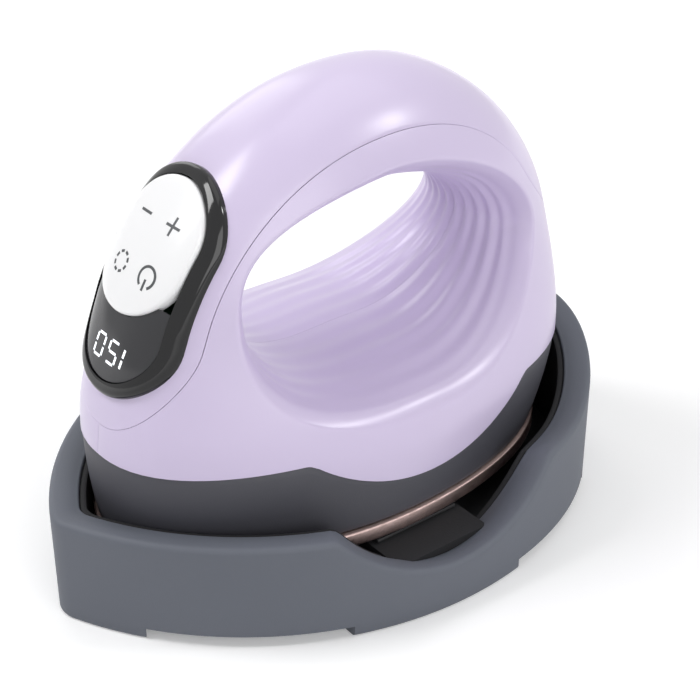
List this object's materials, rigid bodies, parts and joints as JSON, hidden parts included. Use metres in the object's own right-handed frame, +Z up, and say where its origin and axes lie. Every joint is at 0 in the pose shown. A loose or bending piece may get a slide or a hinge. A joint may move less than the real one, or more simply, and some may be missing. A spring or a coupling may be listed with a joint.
{
  "type": "mini handheld heat press",
  "caption": "Palm-sized handheld heat press with a hand-through grip, digital key panel and rose-gold pressing plate, standing in an open safety base.",
  "frame": {"origin": "on the surface the base stands on, under the middle of the base's outline", "axes": "+Z up; the nose with the control panel points along -Y and the tail with the cord gland along +Y; x = 0 is the mirror plane"},
  "size_m": [0.0926, 0.13, 0.1],
  "materials": {
    "lilac_plastic": "satin moulded",
    "base_grey": "fine matte",
    "skirt_grey": "satin",
    "liner_black": "matte",
    "silicone_black": "matte",
    "rose_gold": "coated, satin",
    "gloss_black": "polished",
    "window_smoke": "polished",
    "key_white": "satin",
    "bright_steel": "zinc plated",
    "element_steel": "oxidised",
    "ceramic_fibre": "fibrous",
    "board_green": "solder mask",
    "chip_black": "moulded",
    "capacitor_blue": "dipped",
    "fuse_body": "glazed ceramic",
    "lead_white": "sleeved",
    "terminal_grey": "moulded"
  },
  "bodies": {
    "safety_base": {"base_tray": "base_grey", "base_liner": "liner_black", "right_rest_pad": "silicone_black", "left_rest_pad": "silicone_black", "nose_rest_pad": "silicone_black", "tail_rest_pad": "silicone_black"},
    "press": {"sole_plate": "rose_gold", "heating_element": "element_steel", "insulation_pad": "ceramic_fibre", "heat_shield": "bright_steel", "thermal_fuse": "bright_steel", "temperature_sensor": "fuse_body", "fuse_clip": "bright_steel", "sensor_clip": "bright_steel", "plate_screw_1": "bright_steel", "plate_screw_2": "bright_steel", "plate_screw_3": "bright_steel", "plate_screw_4": "bright_steel", "skirt_housing": "skirt_grey", "skirt_screw_1": "bright_steel", "skirt_screw_2": "bright_steel", "skirt_screw_3": "bright_steel", "skirt_screw_4": "bright_steel", "right_shell": "lilac_plastic", "left_shell": "lilac_plastic", "spine_cover": "lilac_plastic", "panel_bezel": "gloss_black", "display_window": "window_smoke", "control_board": "board_green", "display_module": "chip_black", "tact_switch_1": "chip_black", "tact_switch_2": "chip_black", "tact_switch_3": "chip_black", "tact_switch_4": "chip_black", "display_ribbon": "lead_white", "power_board": "board_green", "board_standoff_1": "bright_steel", "board_standoff_2": "bright_steel", "board_standoff_3": "bright_steel", "board_standoff_4": "bright_steel", "board_screw_1": "bright_steel", "board_screw_2": "bright_steel", "board_screw_3": "bright_steel", "board_screw_4": "bright_steel", "terminal_block": "terminal_grey", "film_capacitor": "capacitor_blue", "triac": "chip_black", "line_fuse": "fuse_body", "buzzer": "chip_black", "tilt_switch": "bright_steel", "right_heater_lead": "lead_white", "left_heater_lead": "lead_white", "cord_gland": "silicone_black"},
    "keypad_body": {"keypad": "key_white"}
  },
  "joints": [
    {"name": "press_lift", "type": "slide", "parent": "safety_base", "child": "press", "axis": [0, 0, 1], "range_m": [0, 0.045]},
    {"name": "keypad_press", "type": "slide", "parent": "press", "child": "keypad_body", "axis": [0, 0.8484, -0.5294], "range_m": [0, 0.00035], "stiffness_N_per_m": 2000}
  ]
}
